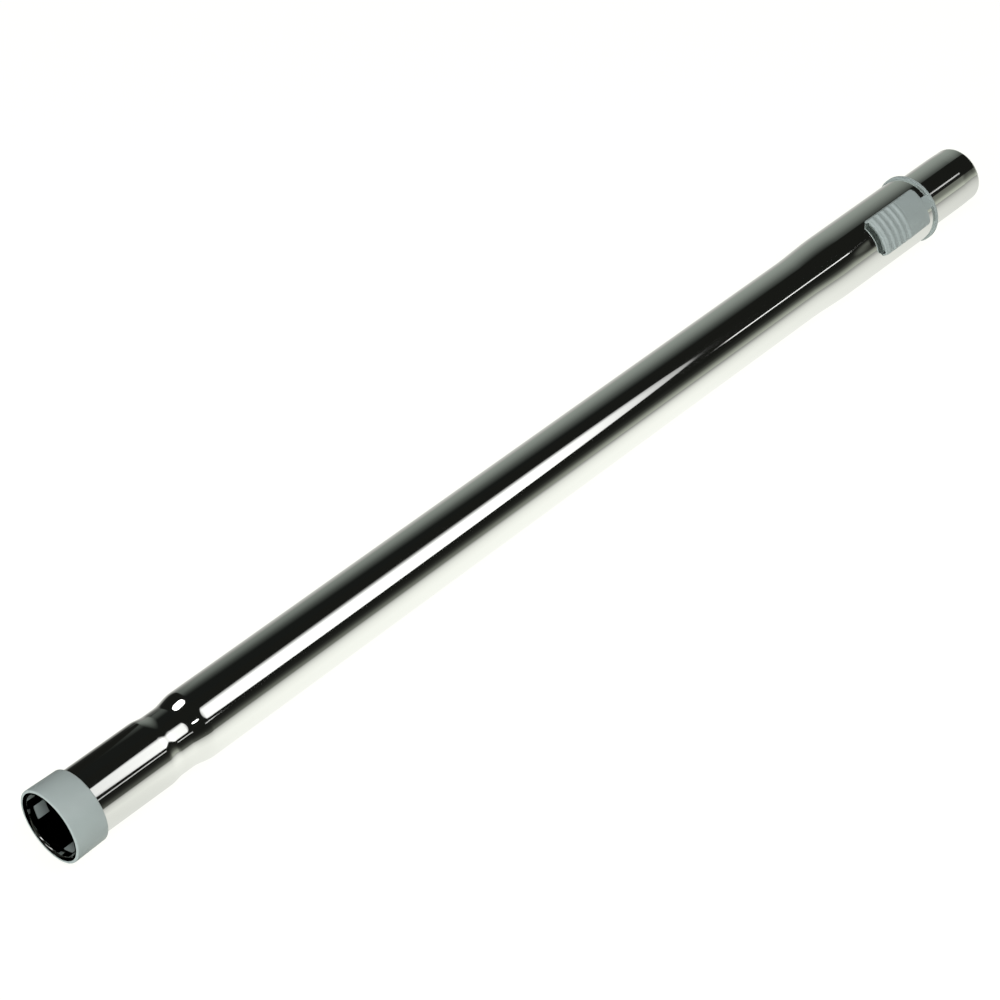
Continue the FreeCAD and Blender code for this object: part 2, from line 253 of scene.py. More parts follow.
def plug(tree, value, socket):
    """Links an output to the socket, or sets the socket to a plain value."""
    if isinstance(value, bpy.types.NodeSocket):
        tree.links.new(value, socket)
    else:
        socket.default_value = value


def calculate(tree, operation, first, second=0.0):
    node = add_node(tree, "ShaderNodeMath", operation=operation)
    plug(tree, first, node.inputs[0])
    plug(tree, second, node.inputs[1])
    return node.outputs["Value"]


def ramp(tree, value, stops):
    """Grey levels along a value, as (position, level) stops."""
    node = add_node(tree, "ShaderNodeValToRGB")
    elements = node.color_ramp.elements
    for element, (position, level) in zip(elements, (stops[0], stops[-1])):
        element.position = position
        element.color = (level, level, level, 1.0)
    for position, level in stops[1:-1]:
        elements.new(position).color = (level, level, level, 1.0)
    plug(tree, value, node.inputs["Fac"])
    return node.outputs["Color"]


def object_axes(tree, scale=(1.0, 1.0, 1.0)):
    """The object's own coordinates, stretched, as a vector output."""
    where = add_node(tree, "ShaderNodeTexCoord")
    mapping = add_node(tree, "ShaderNodeMapping")
    mapping.inputs["Scale"].default_value = scale
    tree.links.new(where.outputs["Object"], mapping.inputs["Vector"])
    return mapping.outputs["Vector"]


def noise(tree, vector, scale, detail=2.0):
    node = add_node(tree, "ShaderNodeTexNoise")
    node.inputs["Scale"].default_value = scale
    node.inputs["Detail"].default_value = detail
    tree.links.new(vector, node.inputs["Vector"])
    return node.outputs["Fac"]


def new_group(name, outputs):
    group = bpy.data.node_groups.new(name, "ShaderNodeTree")
    for label in outputs:
        group.interface.new_socket(name=label, in_out="OUTPUT", socket_type="NodeSocketFloat")
    return group, group.nodes.new("NodeGroupOutput")


# Scales of the surface patterns per metre. The metal's are stretched along the tube.
LINE_SCALE = (3.0, 900.0, 900.0)
POLISH_SCALE = (14.0, 40.0, 40.0)
POLISH_SPREAD = ((0.35, 0.0), (0.75, 1.0))
GRAIN_SCALE = 2600.0
TONE_SCALE = 90.0


def drawn_surface():
    """Long faint lines from drawing the tube, and soft patches from handling it."""
    group, result = new_group("drawn_surface", ("Lines", "Patches"))
    lines = noise(group, object_axes(group, LINE_SCALE), 1.0)
    patches = noise(group, object_axes(group, POLISH_SCALE), 1.0, detail=4.0)
    group.links.new(lines, result.inputs["Lines"])
    group.links.new(ramp(group, patches, POLISH_SPREAD), result.inputs["Patches"])
    return group


def moulded_surface():
    """Fine grain of a moulded face, and a slow drift in its tone."""
    group, result = new_group("moulded_surface", ("Grain", "Tone"))
    group.links.new(noise(group, object_axes(group), GRAIN_SCALE, detail=3.0), result.inputs["Grain"])
    group.links.new(noise(group, object_axes(group), TONE_SCALE, detail=3.0), result.inputs["Tone"])
    return group


def use_group(tree, name):
    return add_node(tree, "ShaderNodeGroup", node_tree=bpy.data.node_groups[name]).outputs


def new_material(name):
    material = bpy.data.materials.new(name)
    material.use_nodes = True
    return material, material.node_tree, material.node_tree.nodes["Principled BSDF"]


def add_bump(tree, shader, height, depth):
    bump = add_node(tree, "ShaderNodeBump")
    bump.inputs["Strength"].default_value = 1.0
    bump.inputs["Distance"].default_value = depth
    tree.links.new(height, bump.inputs["Height"])
    tree.links.new(bump.outputs["Normal"], shader.inputs["Normal"])


def metal(name, tone, smooth, rough, line_depth):
    """Drawn metal: patches of slightly different polish, over faint lines."""
    material, tree, shader = new_material(name)
    surface = use_group(tree, "drawn_surface")
    shader.inputs["Base Color"].default_value = (*tone, 1.0)
    shader.inputs["Metallic"].default_value = 1.0
    gain = calculate(tree, "MULTIPLY", surface["Patches"], rough - smooth)
    tree.links.new(calculate(tree, "ADD", gain, smooth), shader.inputs["Roughness"])
    add_bump(tree, shader, surface["Lines"], line_depth)
    return material


# How far a moulding drifts in tone and in roughness
TONE_DRIFT = 0.07
ROUGH_DRIFT = 0.08


def moulding(name, tone, rough, grain_depth):
    """Moulded plastic or rubber: fine grain and a slow drift in tone."""
    material, tree, shader = new_material(name)
    surface = use_group(tree, "moulded_surface")
    mix = add_node(tree, "ShaderNodeMix", data_type="RGBA")
    tree.links.new(surface["Tone"], mix.inputs["Factor"])
    for socket, gain in (("A", 1.0 - TONE_DRIFT), ("B", 1.0 + TONE_DRIFT)):
        sockets = [item for item in mix.inputs if item.name == socket and item.type == "RGBA"]
        sockets[0].default_value = (*(gain * part for part in tone), 1.0)
    mixed = [item for item in mix.outputs if item.type == "RGBA"]
    tree.links.new(mixed[0], shader.inputs["Base Color"])
    spread = calculate(tree, "MULTIPLY", surface["Grain"], 2.0 * ROUGH_DRIFT)
    tree.links.new(calculate(tree, "ADD", spread, rough - ROUGH_DRIFT), shader.inputs["Roughness"])
    add_bump(tree, shader, surface["Grain"], grain_depth)
    return material


class WAND_OT_finishes(bpy.types.Operator):
    """Makes the finishes and gives every carried-over solid its own"""

    bl_idname = "wand.finishes"
    bl_label = "Finish the Solids"

    def execute(self, context):
        colours = context.scene.wand_colours
        drawn_surface()
        moulded_surface()
        metal("bright_chrome", colours.chrome, smooth=0.04, rough=0.075, line_depth=0.0004 * MM)
        metal("drawn_steel", colours.steel, smooth=0.25, rough=0.4, line_depth=0.002 * MM)
        moulding("satin_plastic", colours.plastic, rough=0.42, grain_depth=0.012 * MM)
        moulding("bearing_plastic", colours.slide, rough=0.45, grain_depth=0.010 * MM)
        moulding("seal_rubber", colours.rubber, rough=0.7, grain_depth=0.015 * MM)
        for row in frame["record"]["subparts"]:
            mesh = frame["nodes"][row["node"]].data
            mesh.materials.clear()
            mesh.materials.append(bpy.data.materials[FINISHES[row["material_slot"]]])
        return {"FINISHED"}


# Mesh helpers

TOLERANCE = 0.01 * MM
MERGE_DISTANCE = 0.001 * MM
CUT_SNAP = 0.0001 * MM
HARD_EDGE = math.radians(35)
ROUND_STEPS = 8


def sharpen(bm):
    """Smooth faces that keep their hard edges."""
    for face in bm.faces:
        face.smooth = True
    for edge in bm.edges:
        edge.smooth = len(edge.link_faces) == 2 and edge.calc_face_angle(0.0) < HARD_EDGE


def wand_piece(name, bm, node, body, material_slot):
    """Turns a finished mesh to the front and puts it in the place of its solid."""
    turn_mesh(bm, BUTTON_TURN)
    mesh = bpy.data.meshes.new(name)
    bm.to_mesh(mesh)
    bm.free()
    mesh.materials.append(bpy.data.materials[FINISHES[material_slot]])
    piece = bpy.data.objects.new(name, mesh)
    bpy.context.scene.collection.objects.link(piece)
    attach(piece, body)
    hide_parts(node)
    return piece


def spin_round(bm, segments):
    bmesh.ops.spin(
        bm, geom=bm.verts[:] + bm.edges[:], cent=(0, 0, 0), axis=(1, 0, 0), dvec=(0, 0, 0),
        angle=2.0 * math.pi, steps=segments, use_merge=True,
    )
    bmesh.ops.remove_doubles(bm, verts=bm.verts, dist=MERGE_DISTANCE)
    bmesh.ops.recalc_face_normals(bm, faces=bm.faces)


def turn_mesh(bm, angle):
    bmesh.ops.rotate(bm, verts=bm.verts, cent=(0, 0, 0), matrix=Matrix.Rotation(angle, 3, "X"))


def cut_opening(bm, start, end, half_width, angle):
    """Cuts a straight-sided opening into the wall at that angle from the button."""
    turn_mesh(bm, -angle)
    for side in (1, -1):
        faces = [face for face in bm.faces if start < face.calc_center_median().x < end]
        faces = [face for face in faces if face.calc_center_median().z > half_width]
        edges = {edge for face in faces for edge in face.edges}
        verts = {vert for face in faces for vert in face.verts}
        bmesh.ops.bisect_plane(
            bm, geom=[*verts, *edges, *faces], dist=CUT_SNAP, plane_co=(0, side * half_width, 0),
            plane_no=(0, 1, 0),
        )
    inside = []
    for face in bm.faces:
        middle = face.calc_center_median()
        if start < middle.x < end and abs(middle.y) < half_width and middle.z > half_width:
            inside.append(face)
    bmesh.ops.delete(bm, geom=inside, context="FACES")
    turn_mesh(bm, angle)


def tube_radius(sizes, x):
    """Outer radius of the drawn tube, eased from run to run."""
    radius = sizes.mouth_radius
    for start, end, after in (
        (-sizes.flare_length, 0.0, sizes.socket_radius),
        (sizes.socket_end, sizes.waist_start, sizes.waist_radius),
        (sizes.waist_end, sizes.main_start, sizes.main_radius),
        (sizes.main_end, sizes.expanded_start, sizes.expanded_radius),
    ):
        radius += (after - radius) * ease((x - start) / (end - start))
    return radius


def press_bead(bm, sizes):
    """Presses the round-bottomed bead in line with the button."""
    for vert in bm.verts:
        if vert.co.z < 0.0 or abs(vert.co.y) > sizes.bead_half:
            continue
        run_in = ease((vert.co.x - sizes.expanded_start) / sizes.bead_lead)
        run_out = ease((sizes.bead_end - vert.co.x) / sizes.bead_close)
        across = 0.5 + 0.5 * math.cos(math.pi * vert.co.y / sizes.bead_half)
        vert.co.z -= sizes.bead_depth * run_in * run_out * across


# Cuts along each eased or long run of the tube, and the turn of the snap holes from the button
RUN_CUTS = 27
LONG_RUN = 100.0 * MM
SNAP_TURN = math.radians(120)


class WAND_OT_outer_tube(bpy.types.Operator):
    """Draws the outer tube, presses its bead and cuts its openings"""

    bl_idname = "wand.outer_tube"
    bl_label = "Outer Tube"

    def execute(self, context):
        sizes = context.scene.wand_tube
        collar = context.scene.wand_collar
        eased = ((-sizes.flare_length, 0.0), (sizes.socket_end, sizes.waist_start),
                 (sizes.waist_end, sizes.main_start), (sizes.main_end, sizes.expanded_start),
                 (sizes.expanded_start, sizes.bead_end))
        stations = sorted({
            -sizes.flare_length, 0.0, sizes.lug_start, sizes.lug_end, sizes.socket_end, sizes.waist_start,
            sizes.waist_end, sizes.main_start, sizes.main_end, sizes.expanded_start, sizes.bead_end,
            sizes.slot_start, sizes.snap_start, sizes.window_end, sizes.snap_end, sizes.tube_end,
        })
        bm = bmesh.new()
        points = [bm.verts.new((x, 0.0, 0.0)) for x in stations]
        lines = [bm.edges.new(pair) for pair in zip(points, points[1:])]
        for line in lines:
            ends = tuple(vert.co.x for vert in line.verts)
            in_ease = any(
                abs(ends[0] - start) < TOLERANCE and abs(ends[1] - end) < TOLERANCE for start, end in eased
            )
            if in_ease or ends[1] - ends[0] > LONG_RUN:
                bmesh.ops.subdivide_edges(bm, edges=[line], cuts=RUN_CUTS)
        for vert in bm.verts:
            vert.co.z = tube_radius(sizes, vert.co.x)
        spin_round(bm, sizes.segments)
        press_bead(bm, sizes)
        cut_opening(bm, sizes.slot_start, sizes.tube_end, sizes.slot_half, 0.0)
        cut_opening(bm, sizes.slot_start, sizes.window_end, sizes.window_half, 0.0)
        for side in (1, -1):
            cut_opening(bm, sizes.snap_start, sizes.snap_end, sizes.snap_half, side * SNAP_TURN)
        for index in range(collar.lug_count):
            turn = collar.lug_turn + 2.0 * math.pi * index / collar.lug_count
            cut_opening(bm, sizes.lug_start, sizes.lug_end, sizes.lug_half, turn)
        bmesh.ops.recalc_face_normals(bm, faces=bm.faces)
        bmesh.ops.solidify(bm, geom=bm.faces[:], thickness=sizes.wall)
        # No part of the wall stands out in front of the mouth
        for vert in bm.verts:
            vert.co.x = max(vert.co.x, -sizes.flare_length)
        sharpen(bm)
        wand_piece("outer_tube_shell", bm, "outer_tube", "outer", "chrome_tube")
        return {"FINISHED"}


def ring_edges(bm, x, radius):
    """The edges of the circle at that station and radius."""
    found = []
    for edge in bm.edges:
        off_station = max(abs(vert.co.x - x) for vert in edge.verts)
        off_radius = max(abs(vert.co.yz.length - radius) for vert in edge.verts)
        if max(off_station, off_radius) < TOLERANCE:
            found.append(edge)
    return found


# Cuts across a lug, the steps of its rounding, and the least angle of an edge that is rounded
LUG_CUTS = 11
LUG_ROUND_STEPS = 3
LUG_EDGE = math.radians(60)


class WAND_OT_collar(bpy.types.Operator):
    """Turns the socket collar, rounds its edges and adds its lugs"""

    bl_idname = "wand.collar"
    bl_label = "Socket Collar"

    def execute(self, context):
        sizes = context.scene.wand_collar
        outline = (
            (-sizes.rim, sizes.rim_bore),
            (-sizes.rim, sizes.front_radius),
            (sizes.length, sizes.back_radius),
            (sizes.length, sizes.bore),
            (sizes.step, sizes.bore),
            (sizes.step, sizes.rim_bore),
        )
        bm = bmesh.new()
        points = [bm.verts.new((x, 0.0, radius)) for x, radius in outline]
        for pair in zip(points, points[1:] + points[:1]):
            bm.edges.new(pair)
        spin_round(bm, sizes.segments)
        for x, radius, offset in (
            (-sizes.rim, sizes.front_radius, sizes.front_round),
            (sizes.length, sizes.back_radius, sizes.back_round),
            (-sizes.rim, sizes.rim_bore, sizes.mouth_round),
            (sizes.length, sizes.bore, sizes.mouth_round),
        ):
            bmesh.ops.bevel(
                bm, geom=ring_edges(bm, x, radius), offset=offset, segments=ROUND_STEPS, profile=0.5,
                affect="EDGES", material=-1,
            )
        for index in range(sizes.lug_count):
            self.add_lug(bm, sizes, sizes.lug_turn + 2.0 * math.pi * index / sizes.lug_count)
        bmesh.ops.recalc_face_normals(bm, faces=bm.faces)
        sharpen(bm)
        wand_piece("socket_collar_ring", bm, "socket_collar", "outer", "grey_plastic")
        return {"FINISHED"}

    def add_lug(self, bm, sizes, turn):
        """One lug that reaches through its hole to the inside of the tube."""
        lug = bmesh.new()
        root = sizes.bore + sizes.lug_sink
        size = Vector((sizes.lug_length, sizes.lug_width, root - sizes.lug_foot))
        middle = Vector((sizes.lug_start + sizes.lug_length / 2, 0.0, (root + sizes.lug_foot) / 2))
        shape = Matrix.Translation(middle) @ Matrix.Diagonal((*size, 1.0))
        bmesh.ops.create_cube(lug, size=1.0, matrix=shape)
        across = []
        for edge in lug.edges:
            first, second = edge.verts
            if abs(first.co.y - second.co.y) > sizes.lug_width / 2:
                across.append(edge)
        bmesh.ops.subdivide_edges(lug, edges=across, cuts=LUG_CUTS)
        for vert in lug.verts:
            vert.co.z = math.sqrt(vert.co.z ** 2 - vert.co.y ** 2)
        inner = [edge for edge in lug.edges if edge.calc_face_angle(0.0) > LUG_EDGE]
        bmesh.ops.bevel(
            lug, geom=inner, offset=sizes.lug_round, segments=LUG_ROUND_STEPS, profile=0.5, affect="EDGES",
            material=-1,
        )
        turn_mesh(lug, turn)
        holder = bpy.data.meshes.new("lug")
        lug.to_mesh(holder)
        lug.free()
        bm.from_mesh(holder)
        bpy.data.meshes.remove(holder)


def button_top(sizes, x):
    """Outer radius of the button: ribbed and level, then falling to its nose."""
    fall = (x - sizes.level_end) / (sizes.right - sizes.level_end)
    height = sizes.top - (sizes.top - sizes.nose) * max(0.0, fall)
    for index in range(sizes.rib_count):
        middle = sizes.left + sizes.rib_inset + sizes.rib_pitch * index
        share = abs(x - middle) / sizes.rib_half
        if share < 1.0:
            height += sizes.rib_height * (0.5 + 0.5 * math.cos(math.pi * share))
    return height


def inset_from_edge(sizes, x, y):
    """Distance from the rounded outline of the button, seen from above."""
    along = abs(x - (sizes.left + sizes.right) / 2) - (sizes.right - sizes.left) / 2 + sizes.corner
    across = abs(y) - sizes.width / 2 + sizes.corner
    outside = math.hypot(max(along, 0.0), max(across, 0.0))
    return sizes.corner - outside - min(max(along, across), 0.0)


# Rows of the button's mesh: close to its outline, beside its gate, and over the rest
OUTLINE_ROWS = (0.06 * MM, 0.15 * MM, 0.28 * MM, 0.5 * MM)
GATE_ROW = 0.05 * MM
FINE_ROW = 0.38 * MM
ROW_MARGIN = 1.0 * MM


class WAND_OT_button(bpy.types.Operator):
    """Moulds the ribbed slide button over the tube"""

    bl_idname = "wand.button"
    bl_label = "Slide Button"

    def execute(self, context):
        sizes = context.scene.wand_button
        middle = (sizes.left + sizes.right) / 2
        span = Matrix.Diagonal((sizes.right - sizes.left, sizes.width, 1.0, 1.0))
        bm = bmesh.new()
        bmesh.ops.create_grid(bm, x_segments=1, y_segments=1, size=0.5, matrix=span)
        bmesh.ops.translate(bm, verts=bm.verts, vec=(middle, 0.0, 0.0))
        bmesh.ops.bevel(
            bm, geom=bm.verts[:], offset=sizes.corner, segments=ROUND_STEPS, profile=0.5, affect="VERTICES",
            material=-1,
        )
        half = sizes.width / 2
        for normal, station in self.mesh_rows(sizes):
            bmesh.ops.bisect_plane(
                bm, geom=bm.verts[:] + bm.edges[:] + bm.faces[:], dist=MERGE_DISTANCE,
                plane_co=normal * station, plane_no=normal,
            )
        rim = [edge for edge in bm.edges if edge.is_boundary]
        for vert in bm.verts:
            gap = min(max(inset_from_edge(sizes, vert.co.x, vert.co.y), 0.0), sizes.edge)
            round_off = sizes.edge - math.sqrt(sizes.edge ** 2 - (sizes.edge - gap) ** 2)
            radius = button_top(sizes, vert.co.x) - round_off
            vert.co.z = math.sqrt(radius ** 2 - vert.co.y ** 2)
        edges, verts = self.extrude_rim(bm, rim)
        for vert in verts:
            vert.co.z -= sizes.lip
        edges, verts = self.extrude_rim(bm, edges)
        for vert in verts:
            straight = half - sizes.corner - abs(vert.co.y)
            if vert.co.x < sizes.left + TOLERANCE and straight > 0.0:
                vert.co.x += sizes.recess
        edges, verts = self.extrude_rim(bm, edges)
        for vert in verts:
            over_rail = vert.co.x > middle and abs(vert.co.y) < sizes.gate_half - TOLERANCE
            radius = sizes.gate_top if over_rail else sizes.base
            vert.co.z = math.sqrt(radius ** 2 - vert.co.y ** 2)
        bmesh.ops.remove_doubles(bm, verts=bm.verts, dist=MERGE_DISTANCE)
        bmesh.ops.recalc_face_normals(bm, faces=bm.faces)
        bmesh.ops.solidify(bm, geom=bm.faces[:], thickness=sizes.skin)
        sharpen(bm)
        wand_piece("slide_button_cap", bm, "slide_button", "button", "grey_plastic")
        return {"FINISHED"}

    def mesh_rows(self, sizes):
        """The planes that cut the button's plate into rows, each as its normal and its station."""
        along, across = Vector((1, 0, 0)), Vector((0, 1, 0))
        half = sizes.width / 2
        sides = (1, -1)
        rows = [(along, sizes.left + gap) for gap in OUTLINE_ROWS]
        rows += [(along, sizes.right - gap) for gap in OUTLINE_ROWS]
        rows += [(across, side * (half - gap)) for gap in OUTLINE_ROWS for side in sides]
        gate = (sizes.gate_half, sizes.gate_half - GATE_ROW)
        rows += [(across, side * station) for station in gate for side in sides]
        count = int((sizes.right - sizes.left - 2.0 * ROW_MARGIN) / FINE_ROW)
        rows += [(along, sizes.left + ROW_MARGIN + FINE_ROW * index) for index in range(count)]
        count = int((sizes.width - 2.0 * ROW_MARGIN) / (2.0 * FINE_ROW))
        rows += [(across, 2.0 * FINE_ROW * index - half + ROW_MARGIN) for index in range(count + 1)]
        return rows

    def extrude_rim(self, bm, edges):
        """Adds one more row of faces to the open edge. Returns its edges and vertices."""
        made = bmesh.ops.extrude_edge_only(bm, edges=edges)["geom"]
        row = [item for item in made if isinstance(item, bmesh.types.BMEdge) and item.is_boundary]
        return row, [item for item in made if isinstance(item, bmesh.types.BMVert)]


class WAND_OT_spring(bpy.types.Operator):
    """Coils the return spring"""

    bl_idname = "wand.spring"
    bl_label = "Return Spring"

    def execute(self, context):
        sizes = context.scene.wand_spring
        low, high = (Vector(corner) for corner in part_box("return_spring"))
        middle = (low + high) / 2
        coil_radius = (high.z - low.z - sizes.wire) / 2
        pitch = (high.x - low.x - sizes.wire) / sizes.turns
        start = Vector((low.x + sizes.wire / 2, middle.y, middle.z + coil_radius))
        bm = bmesh.new()
        upright = Matrix.Rotation(math.pi / 2, 4, "X")
        bmesh.ops.create_circle(
            bm, segments=sizes.wire_sides, radius=sizes.wire / 2, matrix=Matrix.Translation(start) @ upright
        )
        bmesh.ops.spin(
            bm, geom=bm.verts[:] + bm.edges[:], cent=middle, axis=(1, 0, 0),
            dvec=(pitch / sizes.turn_steps, 0, 0), angle=2.0 * math.pi * sizes.turns,
            steps=sizes.turns * sizes.turn_steps,
        )
        bmesh.ops.holes_fill(bm, edges=[edge for edge in bm.edges if edge.is_boundary])
        bmesh.ops.recalc_face_normals(bm, faces=bm.faces)
        sharpen(bm)
        # The coil is made in its place, so the turn that every piece gets is taken back first
        turn_mesh(bm, -BUTTON_TURN)
        piece = wand_piece("return_spring_coil", bm, "return_spring", "outer", "plain_steel")
        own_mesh(piece)
        return {"FINISHED"}


# Studio

# The paper as the camera sees it: even white light, and a share of the truly shaded paper.
PAPER_WHITE = 1.0
PAPER_EVEN = 0.95
PAPER_SHADED = 0.15
PAPER_COLOUR = (0.86, 0.87, 0.83, 1.0)
PAPER_GLOW = (0.99, 1.0, 0.95, 1.0)

# The paper as the chrome mirrors it, in stops of a distance in metres and the share of white there.
# It fades to the front, to the right and to the back, and in a slanted corner at the back left.
# These fades are painted shade: light that falls off with distance, and shade beside and behind the wand.
PAPER_FRONT = (
    (0.0, 1.0), (0.035, 0.99), (0.06, 0.92), (0.11, 0.78), (0.2, 0.62), (0.32, 0.52), (1.0, 0.42),
)
PAPER_RIGHT = ((0.42, 1.0), (0.72, 0.66))
PAPER_BACK = ((0.0, 1.0), (0.02, 0.80), (0.06, 0.60), (0.12, 0.43), (0.3, 0.32))
CORNER_BACK = ((0.0, 0.15), (0.04, 0.18), (0.15, 1.0))
CORNER_LEFT = ((0.05, 0.95), (0.09, 0.4), (0.15, 0.15), (0.3, 0.0))
CORNER_SLANT = 0.46

# Beyond the mouth the mirrored paper is dark, a painted shade in front of the mouth.
# These stops start that far to the left of the origin.
MOUTH_START = 0.1
PAPER_MOUTH = ((0.1, 0.0), (0.112, 0.88), (0.16, 0.88), (0.2, 1.0))

# The dark canopy: a painted reflection that only the chrome shows, and which lights nothing.
# Its lighter parts, low down in front and in one patch to the right, are painted light.
# Its stops are shares of a height and of a length along the wand,
# and those to the front are metres.
CANOPY_COLOUR = (0.95, 1.0, 0.86, 1.0)
CANOPY_HEIGHT = 3.0
CANOPY_LENGTH = 4.0
CANOPY_RISE = ((0.0, 0.43), (0.16, 0.30), (0.25, 0.175), (0.34, 0.08), (0.5, 0.013), (0.7, 0.0))
CANOPY_ALONG = ((0.52, 0.19), (0.6, 0.4), (0.7, 0.43), (0.75, 0.6), (0.79, 0.9), (0.95, 1.0))
CANOPY_FRONT = ((0.0, 0.0), (0.5, 1.0))
PATCH_ALONG = ((0.915, 0.0), (0.935, 0.1), (0.965, 0.1), (0.98, 0.0))
PATCH_RISE = ((0.55, 1.0), (0.75, 0.0))
DARK_LEVEL = 0.010

# The grey card is a painted reflection that only the chrome shows, and which lights nothing.
# Its upward fade is painted shade, over a height that grows to the right of one station.
# The stops of its rise are shares of that height, and those along the wand are metres.
CARD_COLOUR = (0.90, 1.0, 0.91, 1.0)
CARD_STATION = 0.37
CARD_HEIGHT = 0.45
CARD_SLOPE = 0.85
CARD_RISE = ((0.0, 0.32), (0.25, 0.25), (0.45, 0.165), (0.65, 0.08), (0.85, 0.026), (1.0, 0.0))
CARD_ALONG = ((0.275, 0.0), (0.335, 0.6), (0.60, 0.9), (1.0, 1.0))
CARD_SIZE = (2.0, 1.6)
CARD_PLACE = (1.3, 0.5)

# The softbox as the chrome shows it is a painted highlight: a glowing face that lights nothing.
# The stops of its rim are shares of its radius, those of its ends
# are shares of a length along the wand, and those of its upper side are metres to the front.
SOFTBOX_RADIUS = 0.45
SOFTBOX_NARROW = 0.83
SOFTBOX_LENGTH = 2.0
SOFTBOX_TURN = math.radians(30)
SOFTBOX_RIM = ((0.0, 1.3), (0.8, 1.2), (1.0, 0.8))
SOFTBOX_ENDS = ((0.18, 0.55), (0.31, 1.0), (0.5, 1.0), (0.59, 0.45))
SOFTBOX_UPPER = ((0.16, 0.1), (0.24, 0.5), (0.33, 1.0))

FLOOR_RADIUS = 6.0
CANOPY_RADIUS = 5.0
WORLD_FILL = 0.38
SENSOR_WIDTH = 36.0


def stage_piece(name, bm, material):
    mesh = bpy.data.meshes.new(name)
    bm.to_mesh(mesh)
    bm.free()
    mesh.materials.append(material)
    piece = bpy.data.objects.new(name, mesh)
    bpy.context.scene.collection.objects.link(piece)
    return piece


def only_in_reflections(piece):
    piece.visible_camera = False
    piece.visible_diffuse = False
    piece.visible_shadow = False
    piece.visible_transmission = False


def split_axes(tree):
    """The three coordinates of the piece, each as an output of its own."""
    split = add_node(tree, "ShaderNodeSeparateXYZ")
    tree.links.new(object_axes(tree), split.inputs["Vector"])
    return split.outputs


def glow_material(name):
    """A material that only shines. Returns it with its tree and its light."""
    material = bpy.data.materials.new(name)
    material.use_nodes = True
    tree = material.node_tree
    tree.nodes.remove(tree.nodes["Principled BSDF"])
    light = add_node(tree, "ShaderNodeEmission")
    tree.links.new(light.outputs["Emission"], tree.nodes["Material Output"].inputs["Surface"])
    return material, tree, light


def paper_material():
    """White paper fading with distance in the chrome as painted shade, with a faint true shadow for the camera."""
    material, tree, shader = new_material("white_paper")
    shader.inputs["Base Color"].default_value = PAPER_COLOUR
    shader.inputs["Roughness"].default_value = 1.0
    shader.inputs["Specular IOR Level"].default_value = 0.0
    axes = split_axes(tree)
    along, across = axes["X"], axes["Y"]
    # The mirrored level below is painted shade: darker with distance, behind the wand and beyond its mouth
    near = calculate(tree, "MULTIPLY", across, -1.0)
    front = calculate(tree, "MULTIPLY", ramp(tree, near, PAPER_FRONT), ramp(tree, along, PAPER_RIGHT))
    slant = calculate(tree, "SUBTRACT", along, calculate(tree, "MULTIPLY", across, CORNER_SLANT))
    corner = calculate(tree, "MULTIPLY", ramp(tree, across, CORNER_BACK), ramp(tree, slant, CORNER_LEFT))
    kept = calculate(tree, "SUBTRACT", 1.0, corner)
    back = calculate(tree, "MULTIPLY", ramp(tree, across, PAPER_BACK), kept)
    level = calculate(tree, "MULTIPLY", calculate(tree, "MINIMUM", front, back), PAPER_WHITE)
    mouth = ramp(tree, calculate(tree, "ADD", along, MOUTH_START), PAPER_MOUTH)
    level = calculate(tree, "MULTIPLY", level, mouth)
    path = add_node(tree, "ShaderNodeLightPath").outputs
    mirrored = calculate(tree, "MAXIMUM", path["Is Glossy Ray"], path["Is Transmission Ray"])
    straight = calculate(tree, "MULTIPLY", path["Is Camera Ray"], PAPER_EVEN / (1.0 - PAPER_SHADED))
    glow = add_node(tree, "ShaderNodeEmission")
    glow.inputs["Color"].default_value = PAPER_GLOW
    shown = calculate(tree, "MULTIPLY", mirrored, level)
    tree.links.new(calculate(tree, "ADD", shown, straight), glow.inputs["Strength"])
    camera_share = calculate(tree, "MULTIPLY", path["Is Camera Ray"], 1.0 - PAPER_SHADED)
    mix = add_node(tree, "ShaderNodeMixShader")
    tree.links.new(calculate(tree, "MAXIMUM", mirrored, camera_share), mix.inputs["Fac"])
    tree.links.new(shader.outputs["BSDF"], mix.inputs[1])
    tree.links.new(glow.outputs["Emission"], mix.inputs[2])
    tree.links.new(mix.outputs["Shader"], tree.nodes["Material Output"].inputs["Surface"])
    return material


def canopy_material():
    """Painted dark reflection overhead, lighter low down in front, with one pale patch of painted light to the
    right.
    """
    material, tree, light = glow_material("dark_cloth")
    light.inputs["Color"].default_value = CANOPY_COLOUR
    axes = split_axes(tree)
    rise = calculate(tree, "DIVIDE", axes["Z"], CANOPY_HEIGHT)
    along = calculate(tree, "DIVIDE", axes["X"], CANOPY_LENGTH)
    level = calculate(tree, "MULTIPLY", ramp(tree, rise, CANOPY_RISE), ramp(tree, along, CANOPY_ALONG))
    patch = calculate(tree, "MULTIPLY", ramp(tree, along, PATCH_ALONG), ramp(tree, rise, PATCH_RISE))
    front = ramp(tree, calculate(tree, "MULTIPLY", axes["Y"], -1.0), CANOPY_FRONT)
    glow = calculate(tree, "MULTIPLY", calculate(tree, "ADD", level, patch), front)
    tree.links.new(calculate(tree, "ADD", glow, DARK_LEVEL), light.inputs["Strength"])
    return material


def back_card_material():
    """Painted reflection of a grey card behind the wand, which fades out upwards as painted shade."""
    material, tree, light = glow_material("grey_card")
    light.inputs["Color"].default_value = CARD_COLOUR
    axes = split_axes(tree)
    past = calculate(tree, "SUBTRACT", axes["X"], CARD_STATION)
    height = calculate(tree, "ADD", calculate(tree, "MULTIPLY", past, CARD_SLOPE), CARD_HEIGHT)
    level = ramp(tree, calculate(tree, "DIVIDE", axes["Z"], height), CARD_RISE)
    faded = calculate(tree, "MULTIPLY", level, ramp(tree, axes["X"], CARD_ALONG))
    tree.links.new(calculate(tree, "ADD", faded, DARK_LEVEL), light.inputs["Strength"])
    return material


